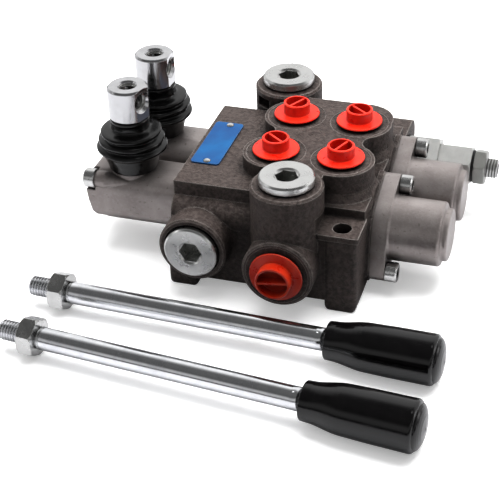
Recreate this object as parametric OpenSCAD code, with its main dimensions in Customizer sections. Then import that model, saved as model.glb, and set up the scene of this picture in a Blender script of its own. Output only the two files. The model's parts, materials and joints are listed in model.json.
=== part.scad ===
// Two-spool monoblock directional control valve, 40 l/min class, with two loose hand levers.
// Millimetres, +Z up, front towards -Y, spools along X with their levers at the left (-X).
// The origin is the centre of the mounting-hole pattern, on the plane of the feet.
// Modules are drawn about the spool frame (midway between the two spools, on their axis height,
// midway between the A and B port columns) and moved to the foot frame by place().

/* [Spools] */
// Distance between the two spool axes
spool_pitch = 38; // [37.5:0.1:38.5]
// Spool radius
spool_r = 9; // [8.9:0.05:9]
// Radial running clearance of a spool in its bore
spool_clear = 0.05; // [0.02:0.01:0.08]
// Height of the spool axes above the feet
spool_h = 27.5; // [27:0.1:28]

/* [Casting] */
// Left end face of the casting, from the port centre
body_x0 = -61; // [-62:0.5:-60.5]
// Right end face of the casting, from the port centre
body_x1 = 35.3; // [35:0.1:36]
// Height of the port deck above the spool axis
deck_z = 35; // [34:0.5:36]
// Height of the nameplate land above the spool axis
land_z = 27.4; // [26.5:0.1:28]
// Height of the right-hand shoulder above the spool axis
shoulder_z = 20.5; // [20:0.1:21]
// Radius of the round lobe about each work port
lobe_r = 16.5; // [16:0.1:17]
// Radius of the upright bosses and of the inlet boss
boss_r = 17.7; // [17:0.1:18]

/* [Ports] */
// Half the distance between the A and B port columns
port_dx = 16.44; // [16:0.1:17]
// Work port thread radius, G3/8
port_r = 8.33; // [8:0.01:8.5]
// Inlet and outlet thread radius, G1/2
main_r = 10.48; // [10:0.01:10.6]

/* [Mounting] */
// Mounting hole radius, for M8
mount_r = 4.5; // [4.2:0.1:4.8]
// Offset of each mounting hole from the pattern centre, along the spools
mount_dx = 40; // [39.5:0.1:40.5]
// Offset of each mounting hole from the pattern centre, across the spools
mount_dy = 50; // [49.5:0.1:50.5]

/* [Levers] */
// Height of the lever pivot ball above the spool axis
pivot_z = 19; // [18.8:0.1:19.2]
// Distance from the port centre to the lever pivots
pivot_x = -93; // [-93.5:0.1:-92.5]
// Radius of the thread on a hand lever, M10
thread_r = 5; // [4.9:0.05:5]
// Radius of a hand lever's rod
rod_r = 5.5; // [5.3:0.1:6]
// Length of the rod between its nut and its grip
rod_len = 132; // [110:1:140]
// Largest radius of a hand grip
grip_r = 12; // [11.5:0.1:12]

/* [Hidden] */
$fn = 72;
eps = 0.01;
spool_y = spool_pitch / 2;
bore_r = spool_r + spool_clear;
mount_x = 25;           // right-hand mounting hole, from the port centre
boss_y = 50.5;          // upright boss and relief axes, from the centre plane
front_y = -boss_y;      // front face of the lower block
step_y = 46;            // half depth of the upper block
boss_top = 37;          // seal faces of the upright bosses
front_x = -1.9;         // front upright boss and inlet
rear_x = -29.7;         // rear upright boss
side_x = -47.2;         // left front plug boss
side_boss_r = 17.2;
side_face = 61.5;       // its seal face, in front of the centre plane
gallery_z = -0.5;
inlet_z = -2.2;
inlet_face = 70;        // the inlet's spot face, in front of the centre plane
pad_t = 3;              // thickness of the machined end pads
flange_t = 8;           // thickness of the spring cap flanges
screw_dy = 15.4;        // spring cap screws, from the spool axis
screw_dz = 16;
screw_r = 2.95;         // shank of every cap screw
screw_seat_x = -109.4;  // head seats of the lever box screws
rivet_x = -50.7;
seal_t = 0.9;           // thickness of the plug seals
RIVET_YS = [-25.2, 12.4];
SIDES = [-1, 1];
// Work ports A1, B1, A2, B2 and the two upright bosses, as x and y
PORTS = [[-port_dx, -spool_y], [port_dx, -spool_y], [-port_dx, spool_y], [port_dx, spool_y]];
UPRIGHTS = [[front_x, -boss_y], [rear_x, boss_y]];

// Colours shared by several nodes
plug_grey = [0.8, 0.8, 0.78];
seal_black = [0.07, 0.07, 0.07];
cap_red = [0.95, 0.22, 0.12];
spool_grey = [0.72, 0.73, 0.75];
bolt_grey = [0.5, 0.5, 0.52];
cup_grey = [0.55, 0.55, 0.57];
spring_grey = [0.45, 0.46, 0.48];
housing_grey = [0.68, 0.65, 0.64];
screw_grey = [0.75, 0.76, 0.78];
poppet_grey = [0.66, 0.66, 0.68];
stem_grey = [0.7, 0.7, 0.72];
socket_grey = [0.8, 0.8, 0.82];
boot_black = [0.05, 0.05, 0.05];
rod_grey = [0.8, 0.81, 0.83];
nut_grey = [0.8, 0.8, 0.8];
grip_black = [0.06, 0.05, 0.06];

// ---------- helpers ----------
// From the spool frame to the foot frame
module place() { translate([mount_dx - mount_x, 0, spool_h]) children(); }
// To a point on the axis of the front (-1) or rear (1) spool
module at_spool(side, x = 0) { translate([x, side * spool_y, 0]) children(); }
// Cylinder along +X from x0 to x1 on the axis (y, z)
module bar_x(x0, x1, r, y = 0, z = 0) {
  translate([x0, y, z]) rotate([0, 90, 0]) cylinder(h = x1 - x0, r = r);
}
// Cylinder along -Y from y0 down to y1 on the axis (x, z)
module bar_y(y0, y1, r, x = 0, z = 0) {
  translate([x, y0, z]) rotate([90, 0, 0]) cylinder(h = y0 - y1, r = r);
}
// Upright cylinder from z0 to z1
module bar_z(z0, z1, r, x = 0, y = 0) { translate([x, y, z0]) cylinder(h = z1 - z0, r = r); }
// Block between two opposite corners
module box(low, high) { translate(low) cube(high - low); }
// Cylinder along +Z with chamfered ends
module chamfered(h, r, bottom, top) {
  rotate_extrude()
    polygon([[0, 0], [r - bottom, 0], [r, bottom], [r, h - top], [r - top, h], [0, h]]);
}
function on_circle(centre, r, angle) = centre + r * [cos(angle), sin(angle)];
// Flat outline around two circles and their outer tangents
module tangent_link(c1, r1, c2, r2) {
  heading = atan2(c2.y - c1.y, c2.x - c1.x);
  spread = acos((r1 - r2) / norm(c2 - c1));
  translate(c1) circle(r1);
  translate(c2) circle(r2);
  polygon([on_circle(c1, r1, heading + spread), on_circle(c2, r2, heading + spread),
           on_circle(c2, r2, heading - spread), on_circle(c1, r1, heading - spread)]);
}
// Hexagon of a given width across flats
module hexagon(flats) { circle(r = flats / 2 / cos(30), $fn = 6); }
// Rectangle with rounded corners
module rounded(low, high, r) {
  translate([low.x + r, low.y]) square([high.x - low.x - 2 * r, high.y - low.y]);
  translate([low.x, low.y + r]) square([high.x - low.x, high.y - low.y - 2 * r]);
  for (x = [low.x + r, high.x - r], y = [low.y + r, high.y - r]) translate([x, y]) circle(r);
}
// Helical compression spring along +Z: each half turn is a half ring, tilted so that its ends
// meet those of the next one; lap tilts it slightly more
module coil(mean_r, wire_r, length, turns, lap = false) {
  rise = (length - 2 * wire_r) / turns;
  slope = rise / 4 / mean_r;
  tilt = lap ? asin(slope) : atan(slope);
  for (k = [0:2 * turns - 1])
    translate([0, 0, wire_r + (k + 0.5) * rise / 2]) rotate([0, 0, k % 2 == 0 ? 0 : 180])
      rotate([0, tilt, 0]) rotate_extrude(angle = 180)
        translate([mean_r / cos(tilt), 0]) circle(wire_r);
}
// Socket-head screw whose head stands on z 0, with its shank below
module cap_screw(length) {
  head_h = 6;
  difference() {
    union() {
      chamfered(head_h, 5, 0.3, 0.6);
      translate([0, 0, -length]) cylinder(h = length + eps, r = screw_r);
    }
    translate([0, 0, head_h * 0.45]) linear_extrude(head_h) hexagon(5);
  }
}

// ---------- casting ----------
// Plan of the raised deck: four lobes, drawn in at the waists, with a square rear corner
module deck_plan() {
  difference() {
    union() {
      for (p = PORTS) translate(p) circle(lobe_r);
      square([51.7, 10.9], center = true);
      square([2 * port_dx, 2 * spool_y + 2 * lobe_r], center = true);
      translate([-22, spool_y]) square([39, 20.5]);
      translate([17.4, 24.4]) circle(15.1);
      translate([-16, -45]) square([28, 12]);
    }
    for (side = SIDES) translate([side * 29.63, 0]) circle(6.8);
  }
}
// Column or foot with rounded upright edges and rounded lower corners
module post(low, high) {
  intersection() {
    translate([0, 0, low.z])
      linear_extrude(high.z - low.z) rounded([low.x, low.y], [high.x, high.y], 2.2);
    translate([0, high.y + 1, 0]) rotate([90, 0, 0])
      linear_extrude(high.y - low.y + 2) rounded([low.x, low.z], [high.x, high.z + 8], 3);
  }
}
// Thin rounded plate on top of a column
module lug_plate(low, high, z) { translate([0, 0, z]) linear_extrude(3) rounded(low, high, 1.2); }
module upright_boss(x, y, z0) {
  translate([x, y, z0]) chamfered(boss_top - z0, boss_r, 0.2, 1.2);
}
// Hollow fillet round the foot of an upright cylinder
module cove(cylinder_r, fillet_r) {
  rotate_extrude() difference() {
    translate([cylinder_r - 2, -0.6]) square([fillet_r + 2, fillet_r + 0.6]);
    translate([cylinder_r + fillet_r - 0.06, fillet_r - 0.06]) circle(fillet_r);
  }
}
// Cast fillets round the two front bosses and beside the upright one
module boss_fillets() {
  // boss x, z and radius, then the left and right limits of its fillet
  for (f = [[side_x, gallery_z, side_boss_r, body_x0 + 0.4, side_x + 24],
            [front_x, inlet_z, boss_r, front_x - 23, front_x + 16]])
    intersection() {
      translate([f[0], front_y, f[1]]) rotate([90, 0, 0]) cove(f[2], 4.2);
      box([f[3], -56, -24.2], [f[4], -49.9, 11.6]);
    }
  translate([0, 0, -24.1]) linear_extrude(35.6) difference() {
    translate([front_x - boss_r - 3.6, -53.9]) square([5.6, 4.2]);
    translate([front_x - boss_r - 3.5, -54]) circle(3.46);
  }
}
module main_block() {
  // lower part, then the shoulder
  box([body_x0, front_y, -24.6], [body_x1 - 1.6, step_y, 12]);
  box([body_x0, -step_y, -22], [body_x1 - 1.6, step_y, shoulder_z]);
  // machined end pads of the spools
  for (side = SIDES)
    at_spool(side, body_x1 - pad_t) rotate([90, 0, 90]) linear_extrude(pad_t) cap_plan(0.8);
  box([body_x1 - pad_t, -36, -22], [body_x1, step_y, -2]);
  // nameplate land, and the rounded ledge under it
  box([body_x0, -step_y, 5], [-18, 34, land_z]);
  bar_x(body_x0, -14, 8.9, -43.4, 11.4);
  translate([0, 0, 10]) linear_extrude(deck_z - 10) deck_plan();
  // sloping foot of the right-hand lobes
  intersection() {
    for (side = SIDES)
      translate([port_dx, side * spool_y, 16]) cylinder(h = 9.5, r1 = 21, r2 = 16.2);
    box([-10, -50, 10], [body_x1 - 1, 50, 30]);
  }
}
module bosses() {
  upright_boss(front_x, -boss_y, gallery_z);
  upright_boss(rear_x, boss_y, -22);
  translate([front_x, -step_y, inlet_z]) rotate([90, 0, 0])
    chamfered(inlet_face - step_y + 0.4, boss_r, 0.2, 1);
  translate([side_x, -step_y, gallery_z]) rotate([90, 0, 0])
    chamfered(62.8 - step_y, side_boss_r, 0.2, 1);
  // relief block at the rear right
  translate([-15, 0, 0]) rotate([90, 0, 90])
    linear_extrude(body_x1 + 15) rounded([36, -20], [70.6, 15.4], 9);
}
module mounts() {
  // front right mounting tab and its column
  post([17.6, -57.3, -spool_h], [33.7, -38, 14]);
  box([7, -56.7, -22.6], [28.9, -46, 13.9]);
  lug_plate([14.2, -58], [34.5, -38], 12.8);
  // rear left mounting lug
  post([-63.6, 38, -spool_h], [-46.4, 57.3, 9]);
  lug_plate([-64.4, 38], [-44, 58], 7.8);
  // feet at the other two corners
  post([-63.5, -54.6, -spool_h], [-47.9, -36, -15]);
  post([17.6, 38, -spool_h], [33.7, 57.3, -10]);
}
module outer_cuts() {
  // the shoulder falls away in front of the right-hand lobes
  box([13.8, -60, 15.8], [body_x1 + 1, -40, 24]);
  // slope behind the nameplate land
  translate([-70, 0, 0]) rotate([90, 0, 90]) linear_extrude(21.5)
    polygon([[34, 27.4], [60, 9.93], [60, 40], [34, 40]]);
  // round pockets on either side of the rear upright boss
  bar_z(28, 33.4, 4.6, -39.4, 36.9);
  bar_z(25, 33.0, 4.2, -19.2, 40.2);
}
// Bore of one spool, its annular chambers and the recesses at its ends
module spool_bore() {
  bar_x(body_x0 - 1, body_x1 + 1, bore_r);
  for (x = [side_x, rear_x, -port_dx, front_x, port_dx]) bar_x(x - 3.2, x + 3.2, 12);
  bar_x(body_x1 - 8, body_x1 + 1, 12.6);
  bar_x(body_x0 - 1, body_x0 + 3.4, 11.9);
  bar_x(21.8, 25, 11.2);
}
module port_bores() {
  for (p = PORTS) translate([p.x, p.y, 0]) {
    bar_z(deck_z - 0.4, deck_z + 1, 14.6);
    bar_z(deck_z - 14, deck_z, port_r);
    bar_z(deck_z - 7.1, deck_z - 6.1, port_r + 0.5);
    bar_z(0, deck_z - 13, 5.6);
  }
}
module main_bores() {
  // inlet port, and its gallery through both spools
  bar_y(-54, -inlet_face - 1, main_r, front_x, inlet_z);
  bar_y(-inlet_face, -inlet_face - 1, 15.4, front_x, inlet_z);
  bar_y(-61.5, -62.5, main_r + 0.5, front_x, inlet_z);
  bar_y(48, -55, 5.6, front_x, gallery_z);
  // threads of the upright bores
  for (p = UPRIGHTS) bar_z(21, 38, main_r, p.x, p.y);
  // front upright bore below its thread
  bar_z(8, 22, 8, front_x, -boss_y);
  bar_z(gallery_z, 9, 5.4, front_x, -boss_y);
  // left plug bore and the tank gallery behind it
  bar_y(-48, -64, main_r, side_x, gallery_z);
  bar_y(-side_face, -64, 14.4, side_x, gallery_z);
  bar_y(32, -49, 5.6, side_x, gallery_z);
  // rear upright bore below its thread, and its gallery
  bar_z(gallery_z - 6, 22, 8, rear_x, boss_y);
  bar_y(boss_y, 20, 5.6, rear_x, gallery_z);
  // relief valve bore
  bar_x(14, body_x1 + 1, 10, boss_y, gallery_z);
  bar_x(rear_x, 15, 5.6, boss_y, gallery_z);
}
module fixing_holes() {
  bar_z(-spool_h - 1, 17, mount_r, mount_x, -mount_dy);
  bar_z(-spool_h - 1, 17, mount_r, mount_x - 2 * mount_dx, mount_dy);
  // tapped holes for the spring cap screws
  for (side = SIDES, end = SIDES)
    bar_x(body_x1 - 14, body_x1 + 1, 3, side * spool_y + end * screw_dy, end * screw_dz);
  for (y = RIVET_YS) bar_z(land_z - 4, land_z + 1, 1.2, rivet_x, y);
}
module valve_body() {
  color([0.31, 0.28, 0.27]) place() difference() {
    union() {
      boss_fillets();
      main_block();
      bosses();
      mounts();
    }
    outer_cuts();
    for (side = SIDES) at_spool(side) spool_bore();
    port_bores();
    main_bores();
    fixing_holes();
  }
}

// ---------- nameplate ----------
module nameplate() {
  color([0.08, 0.38, 0.72]) place() difference() {
    translate([0, 0, land_z]) linear_extrude(0.8)
      polygon([[-57.8, -27.5], [-45, -27.5], [-44, -26.3], [-44, 13.8],
               [-45, 15], [-57.8, 15], [-58.8, 13.8], [-58.8, -26.3]]);
    for (y = RIVET_YS) bar_z(land_z - 1, land_z + 2, 1.25, rivet_x, y);
  }
}
module nameplate_rivets() {
  color([0.8, 0.8, 0.8]) place() for (y = RIVET_YS) translate([rivet_x, y, 0]) {
    bar_z(land_z - 3.8, land_z + 0.9, 1.15);
    // domed head
    translate([0, 0, land_z + 0.8]) rotate_extrude()
      polygon(concat([[0, 0]], [for (a = [0:15:90]) [1.9 * cos(a), 0.9 * sin(a)]]));
  }
}

// ---------- plugs ----------
// Collared plug along +Z: the collar sits on z 0, the thread hangs below, hollow from its foot
module plug(collar, depth, hollow = 0) {
  difference() {
    union() {
      rotate_extrude() polygon([[0, 0], [13.3, 0], [13.5, 0.2], [13.5, collar - 0.9],
                                [12.7, collar], [0, collar]]);
      translate([0, 0, -depth]) chamfered(depth + eps, main_r - 0.04, 0.8, 0);
    }
    translate([0, 0, collar - 8]) linear_extrude(9) hexagon(10);
    translate([0, 0, collar - 0.9]) cylinder(h = 1, r1 = 5.5, r2 = 6.5);
    if (hollow > 0) translate([0, 0, -depth - 1]) cylinder(h = hollow + 1, r = 6);
  }
}
module front_top_plug() {
  color(plug_grey) place() translate([front_x, -boss_y, boss_top + seal_t]) plug(4, 13.5, 6);
}
module rear_top_plug() {
  color(plug_grey) place() translate([rear_x, boss_y, boss_top + seal_t]) plug(4, 13.5);
}
module side_plug() {
  color(plug_grey) place()
    translate([side_x, -side_face - seal_t, gallery_z]) rotate([90, 0, 0]) plug(3.5, 13);
}
// Bonded sealing ring under a plug collar
module seal_ring() {
  difference() {
    cylinder(h = seal_t, r = 13.1);
    translate([0, 0, -1]) cylinder(h = seal_t + 2, r = main_r + 0.05);
  }
}
module plug_seals() {
  color([0.06, 0.06, 0.06]) place() {
    for (p = UPRIGHTS) translate([p.x, p.y, boss_top]) seal_ring();
    translate([side_x, -side_face, gallery_z]) rotate([90, 0, 0]) seal_ring();
  }
}

// ---------- transport caps ----------
// Flanged plastic cap along +Z with a hollow grip ring and one rib across it
module transport_cap(flange_r, skirt_r, skirt, ring_r, rib_angle) {
  difference() {
    union() {
      rotate_extrude() polygon([[0, 0], [skirt_r + 0.7, 0], [flange_r - 0.5, 1.3],
        [flange_r, 1.8], [flange_r - 0.3, 2.4], [ring_r + 1.5, 2.6], [ring_r, 2.8], [0, 2.8]]);
      translate([0, 0, 2.6]) chamfered(5.8, ring_r, 0, 0.4);
      translate([0, 0, -skirt]) chamfered(skirt + eps, skirt_r, 0.8, 0);
    }
    translate([0, 0, 2.9]) cylinder(h = 7, r = ring_r - 1.15);
    translate([0, 0, -skirt - 1]) cylinder(h = skirt, r = skirt_r - 1.4);
  }
  rotate([0, 0, rib_angle]) translate([0, 0, 5.4])
    cube([2 * ring_r - 1.6, 1.1, 5.2], center = true);
}
module work_cap(port, rib_angle) {
  place() translate([port.x, port.y, deck_z - 0.4])
    transport_cap(11.65, port_r - 0.05, 6, 6.7, rib_angle);
}
module port_cap_a1() { color(cap_red) work_cap(PORTS[0], -38); }
module port_cap_b1() { color(cap_red) work_cap(PORTS[1], 68); }
module port_cap_a2() { color(cap_red) work_cap(PORTS[2], 62); }
module port_cap_b2() { color(cap_red) work_cap(PORTS[3], -38); }
module inlet_cap() {
  color(cap_red) place() translate([front_x, -inlet_face, inlet_z]) rotate([90, 0, 0])
    transport_cap(13.2, main_r - 0.05, 7, 8.6, 8);
}

// ---------- spools ----------
spool_x0 = -99;   // left end of the spools
spool_x1 = 36;    // right end of the spools
groove_r = 5.5;
// Half section of a spool: radius, distance from its left end
SPOOL_PROFILE = [
  [0, 0], [7.6, 0], [8.4, 0.8], [8.4, 15], [spool_r, 15.6],
  [spool_r, 46], [groove_r, 48], [groove_r, 56], [spool_r, 58],
  [spool_r, 65], [groove_r, 67], [groove_r, 77], [spool_r, 79],
  [spool_r, 88], [groove_r, 90], [groove_r, 104], [spool_r, 106],
  [spool_r, 112], [groove_r, 114], [groove_r, 120], [spool_r, 122],
  [spool_r, 134.2], [8.2, 135], [0, 135]];
module spool(side) {
  at_spool(side) difference() {
    translate([spool_x0, 0, 0]) rotate([0, 90, 0]) rotate_extrude() polygon(SPOOL_PROFILE);
    // tongue with a slot for the lower ball of the lever
    box([-100, -10, 4.4], [-84, 10, 10]);
    box([-100, -10, -10], [-88, 10, -6]);
    box([-100, -10, -8], [-96, 10, -3.6]);
    box([pivot_x - 4.5, -5, -10], [pivot_x + 4.5, 5, 10]);
    // tapped hole for the spring bolt
    bar_x(22, spool_x1 + 1, 3);
  }
}
module spool_1() { color(spool_grey) place() spool(-1); }
module spool_2() { color(spool_grey) place() spool(1); }
module spool_seals() {
  color(seal_black) place() for (side = SIDES) at_spool(side) {
    difference() {
      bar_x(body_x0 + 0.1, body_x0 + 3.3, 11.8);
      bar_x(body_x0 - 1, body_x0 + 5, bore_r + 0.02);
    }
    difference() {
      bar_x(21.9, 24.9, 11.1);
      bar_x(21, 26, bore_r + 0.02);
    }
  }
}
module spring_bolt(side) {
  at_spool(side) difference() {
    union() {
      bar_x(24, 37, 2.98);
      bar_x(spool_x1 + 0.02, 57.4, 3.6);
      bar_x(57.4, 60.6, 5.6);
    }
    translate([59, 0, 0]) rotate([0, 90, 0]) linear_extrude(3) rotate(30) hexagon(5);
  }
}
module spring_bolt_1() { color(bolt_grey) place() spring_bolt(-1); }
module spring_bolt_2() { color(bolt_grey) place() spring_bolt(1); }
module spring_cups(side) {
  at_spool(side) difference() {
    union() {
      bar_x(spool_x1 + 0.05, 38, 11.4);
      bar_x(38, 42, 6);
      bar_x(55.3, 57.3, 11.4);
      bar_x(51.5, 55.4, 6);
    }
    bar_x(spool_x1, 58, 3.7);
  }
}
module spring_cups_1() { color(cup_grey) place() spring_cups(-1); }
module spring_cups_2() { color(cup_grey) place() spring_cups(1); }
module return_spring(side) { at_spool(side, 39.6) rotate([0, 90, 0]) coil(8.6, 1.25, 14.1, 4); }
module return_spring_1() { color(spring_grey) place() return_spring(-1); }
module return_spring_2() { color(spring_grey) place() return_spring(1); }

// ---------- spring caps ----------
// Half section of the cap's barrel: radius, distance from its root
SPRING_CAP_PROFILE = [
  [0, 0], [16.9, 0], [16.9, 0.5], [16.2, 1.6], [16.1, 24.4], [15.9, 25.1], [15.3, 25.7],
  [14.1, 26], [13.4, 26.4], [13.15, 27], [13.1, 28.1], [12.8, 28.8], [12.2, 29.1], [0, 29.1]];
cap_x = body_x1 + flange_t;   // outer face of the flanges
// Flange outline about the spool axis: a round middle and two opposite screw lobes
module cap_plan(growth) {
  for (end = SIDES)
    tangent_link([0, 0], 16.8 + growth * 0.5, [end * 13.9, end * 16.2], 5.6 + growth * 0.5);
}
module spring_cap(side) {
  at_spool(side) difference() {
    union() {
      translate([body_x1, 0, 0]) rotate([90, 0, 90]) linear_extrude(flange_t) cap_plan(0);
      translate([cap_x - 0.5, 0, 0]) rotate([0, 90, 0])
        rotate_extrude() polygon(SPRING_CAP_PROFILE);
    }
    bar_x(body_x1 - 1, 67.6, 12.6);
    for (end = SIDES) bar_x(body_x1 - 1, cap_x + 1, 3.3, end * screw_dy, end * screw_dz);
  }
}
module spring_cap_1() { color(housing_grey) place() spring_cap(-1); }
module spring_cap_2() { color(housing_grey) place() spring_cap(1); }
module spring_cap_screws() {
  color(screw_grey) place() for (side = SIDES, end = SIDES)
    translate([cap_x, side * spool_y + end * screw_dy, end * screw_dz])
      rotate([0, 90, 0]) cap_screw(20);
}

// ---------- lever boxes ----------
// Side profile of a lever box: x, z
BOX_PROFILE = [
  [body_x0, -11], [-102.8, -11], [-103, -10.4], [-105.4, -8], [-110.3, -7.9], [-112.2, -5.4],
  [-113.8, 1], [-114.4, 6], [-114.6, 11], [-113.9, 14.2], [-112.6, 15.8], [-110.8, 16.6],
  [body_x0, 17]];
// End screws of a lever box: y, z, shank length, x of the hole's end
BOX_SCREWS = [[-11.6, 12.5, 5.2, -104.1], [11.6, -7.5, 8, -101.2]];
// Section across a lever box, rounded along its edges
module box_section() {
  translate([-14.6, -4.6]) square([29.2, 11.4]);
  translate([-5.1, -4.6]) square([10.2, 20.9]);
  translate([-8.6, -10.6]) square([17.2, 12]);
  for (end = SIDES) {
    translate([end * 5.1, 6.8]) circle(9.5);
    translate([end * 8.6, -4.6]) circle(6);
  }
}
module lever_box(side) {
  at_spool(side) difference() {
    union() {
      intersection() {
        translate([-116, 0, 0]) rotate([90, 0, 90]) linear_extrude(56) box_section();
        translate([0, 20, 0]) rotate([90, 0, 0]) linear_extrude(40) polygon(BOX_PROFILE);
      }
      // bosses of the two end screws, the upper one fading into the rounded corner
      bar_x(screw_seat_x, -104, 4.4, -11.3, 12.2);
      translate([-104 - eps, -11.3, 12.2]) rotate([0, 90, 0])
        cylinder(h = 15, r1 = 4.4, r2 = 0.8);
      bar_x(screw_seat_x, -100.4, 4.5, 11.4, -7.3);
      // round pad and collar under the boot
      bar_z(5, 16.4, 11.6, pivot_x);
      bar_z(16, 23.6, 9.6, pivot_x);
    }
    // seats of the two screw heads
    box([-118, -22, 7.2], [screw_seat_x, -6.3, 24]);
    box([-118, 6.3, -14], [screw_seat_x, 22, -2.2]);
    for (screw = BOX_SCREWS) bar_x(-112, screw[3], 3, screw[0], screw[1]);
    // hollow for the spool end, and for the lever's lower arm and its seat
    bar_x(-102.6, body_x0 + 1, 9.6);
    box([-108.5, -8.7, -3.9], [-102.5, 8.7, 5]);
    bar_z(0, 26, 7.9, pivot_x);
  }
}
module lever_box_1() { color(housing_grey) place() lever_box(-1); }
module lever_box_2() { color(housing_grey) place() lever_box(1); }
module lever_box_screws() {
  color(screw_grey) place() for (side = SIDES, screw = BOX_SCREWS)
    translate([screw_seat_x, side * spool_y + screw[0], screw[1]])
      rotate([0, -90, 0]) cap_screw(screw[2]);
}
// Ball seats pressed into the boxes
ball_r = 5.8;
module pivot_seats() {
  color([0.85, 0.84, 0.78]) place() for (side = SIDES)
    translate([pivot_x, side * spool_y, pivot_z]) difference() {
      bar_z(-4.5, 4.5, 7.85);
      sphere(ball_r + 0.05);
      bar_z(-6, 6, 5.4);
    }
}

// ---------- levers on the valve ----------
// Turned stem about the pivot: lower ball in the spool's slot, pivot ball, and shank
module lever_stem(side) {
  at_spool(side, pivot_x) {
    sphere(4.2);
    bar_z(2.5, 7, 2.7);
    translate([0, 0, 7 - eps]) cylinder(h = 5, r1 = 2.7, r2 = 3.5);
    bar_z(12 - 2 * eps, 25, 3.5);
    translate([0, 0, pivot_z]) sphere(ball_r);
    translate([0, 0, 24.95]) cylinder(h = 1.2, r1 = 3.5, r2 = 5);
    bar_z(26.1, 33, 5);
    bar_z(32.9, 40.3, 4);
  }
}
module lever_stem_1() { color(stem_grey) place() lever_stem(-1); }
module lever_stem_2() { color(stem_grey) place() lever_stem(1); }
// Socket with an upright and a sideways M10 hole, the latter turned to an angle
module lever_socket(side, angle) {
  tap_r = 4.25;
  at_spool(side, pivot_x) difference() {
    union() {
      bar_z(34, 45.5, 8);
      translate([0, 0, 45]) chamfered(17, 10.2, 0.6, 1);
    }
    // milled flat and the side hole
    rotate([0, 0, angle]) box([9.1, -12, 44], [12, 12, 64]);
    rotate([0, 0, angle]) translate([0, 0, 54.6]) {
      bar_x(0, 10, tap_r);
      translate([7.7, 0, 0]) rotate([0, 90, 0]) cylinder(h = 1.5, r1 = 4.3, r2 = 5.8);
    }
    // upright hole
    bar_z(41.5, 63, tap_r);
    translate([0, 0, 61.1]) cylinder(h = 1, r1 = tap_r, r2 = 5.2);
    // hole for the stem
    bar_z(33, 40.4, 4.03);
  }
}
module lever_socket_1() { color(socket_grey) place() lever_socket(-1, -18); }
module lever_socket_2() { color(socket_grey) place() lever_socket(1, -2); }
// Half section of the rubber boot, radius and z: three folds between a bowl-shaped base
// and a neck, up the outside and down the inside
BOOT_PROFILE = [
  [9.75, 16.5], [12, 16.5], [12.7, 17.3], [14.2, 22], [15.3, 25.4], [16.2, 26.4], [17.9, 27.6],
  [18.3, 28.6], [17.9, 29.4], [15.9, 30.6], [15.6, 31.2], [16.8, 32.2], [17.2, 33.1],
  [16.8, 33.9], [14.6, 35.1], [14.4, 35.6], [15.2, 36.5], [15.4, 37.4], [14.9, 38.2],
  [11.4, 39.4], [10.4, 40.2], [10.1, 41.4], [10.1, 44.2], [9.6, 44.8], [8.4, 44.8],
  [8.4, 38.6], [10, 37.4], [12.6, 36.6], [12.6, 34.4], [14, 33.2], [13.8, 30.4],
  [15.2, 28.6], [13.4, 26.4], [12, 23.7], [9.75, 23.7]];
module boot(side) { at_spool(side, pivot_x) rotate_extrude() polygon(BOOT_PROFILE); }
module boot_1() { color(boot_black) place() boot(-1); }
module boot_2() { color(boot_black) place() boot(1); }

// ---------- relief valve, along +X ----------
module relief_frame() { place() translate([0, boss_y, gallery_z]) children(); }
// Hexagonal bar along +X with chamfered corners
module hex_bar(x0, x1, flats, angle = 0) {
  translate([x0, 0, 0]) rotate([0, 90, 0]) intersection() {
    linear_extrude(x1 - x0) rotate(angle) hexagon(flats);
    chamfered(x1 - x0, flats / 2 / cos(30) - 0.1, 0.7, 0.9);
  }
}
module relief_body() {
  color([0.78, 0.78, 0.74]) relief_frame() difference() {
    union() {
      bar_x(14.5, 36.4, 9.95);
      bar_x(6, 14.6, 5.5);
      hex_bar(36.3, 53, 24);
      hex_bar(52.9, 70.5, 19);
    }
    bar_x(5, 12, 3);
    bar_x(9, 57.5, 4.6);
    bar_x(57, 71, thread_r + 0.03);
    // upright drain hole
    bar_z(-12, 12, 1.6, 26);
  }
}
module relief_seals() {
  color(seal_black) relief_frame() {
    difference() {
      bar_x(body_x1 + 0.02, 36.28, 12.2);
      bar_x(35, 37, 10.02);
    }
    difference() {
      bar_x(70.55, 71.9, 8.4);
      bar_x(70, 72.5, thread_r + 0.06);
    }
  }
}
module relief_locknut() {
  color([0.75, 0.75, 0.74]) relief_frame() difference() {
    hex_bar(72, 78, 17, 7);
    bar_x(71, 79, thread_r + 0.04);
  }
}
module relief_adjuster() {
  color([0.7, 0.7, 0.7]) relief_frame() difference() {
    union() {
      bar_x(57.6, 62, 4.4);
      translate([61.9, 0, 0]) rotate([0, 90, 0]) chamfered(22.2, thread_r, 0.6, 0.8);
    }
    translate([79, 0, 0]) rotate([0, 90, 0]) linear_extrude(6) hexagon(5);
  }
}
module relief_spring() {
  color(bolt_grey) relief_frame()
    translate([21.5, 0, 0]) rotate([0, 90, 0]) coil(3.2, 0.8, 32.4, 8);
}
module relief_poppet() {
  color(poppet_grey) relief_frame() {
    translate([9.1, 0, 0]) rotate([0, 90, 0]) cylinder(h = 2.5, r1 = 2.95, r2 = 4.5);
    bar_x(11.5, 20, 4.55);
    bar_x(19.9, 26, 2.2);
  }
}

// ---------- load check valve, under the front top plug ----------
module check_poppet() {
  color(poppet_grey) place() translate([front_x, -boss_y, 0]) difference() {
    union() {
      translate([0, 0, 8.05]) cylinder(h = 2, r1 = 6, r2 = 7.92);
      bar_z(10, 21, 7.92);
    }
    bar_z(13, 22, 5.6);
  }
}
module check_spring() {
  color(bolt_grey) place() translate([front_x, -boss_y, 14]) coil(4.4, 0.8, 11.4, 5, lap = true);
}

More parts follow.
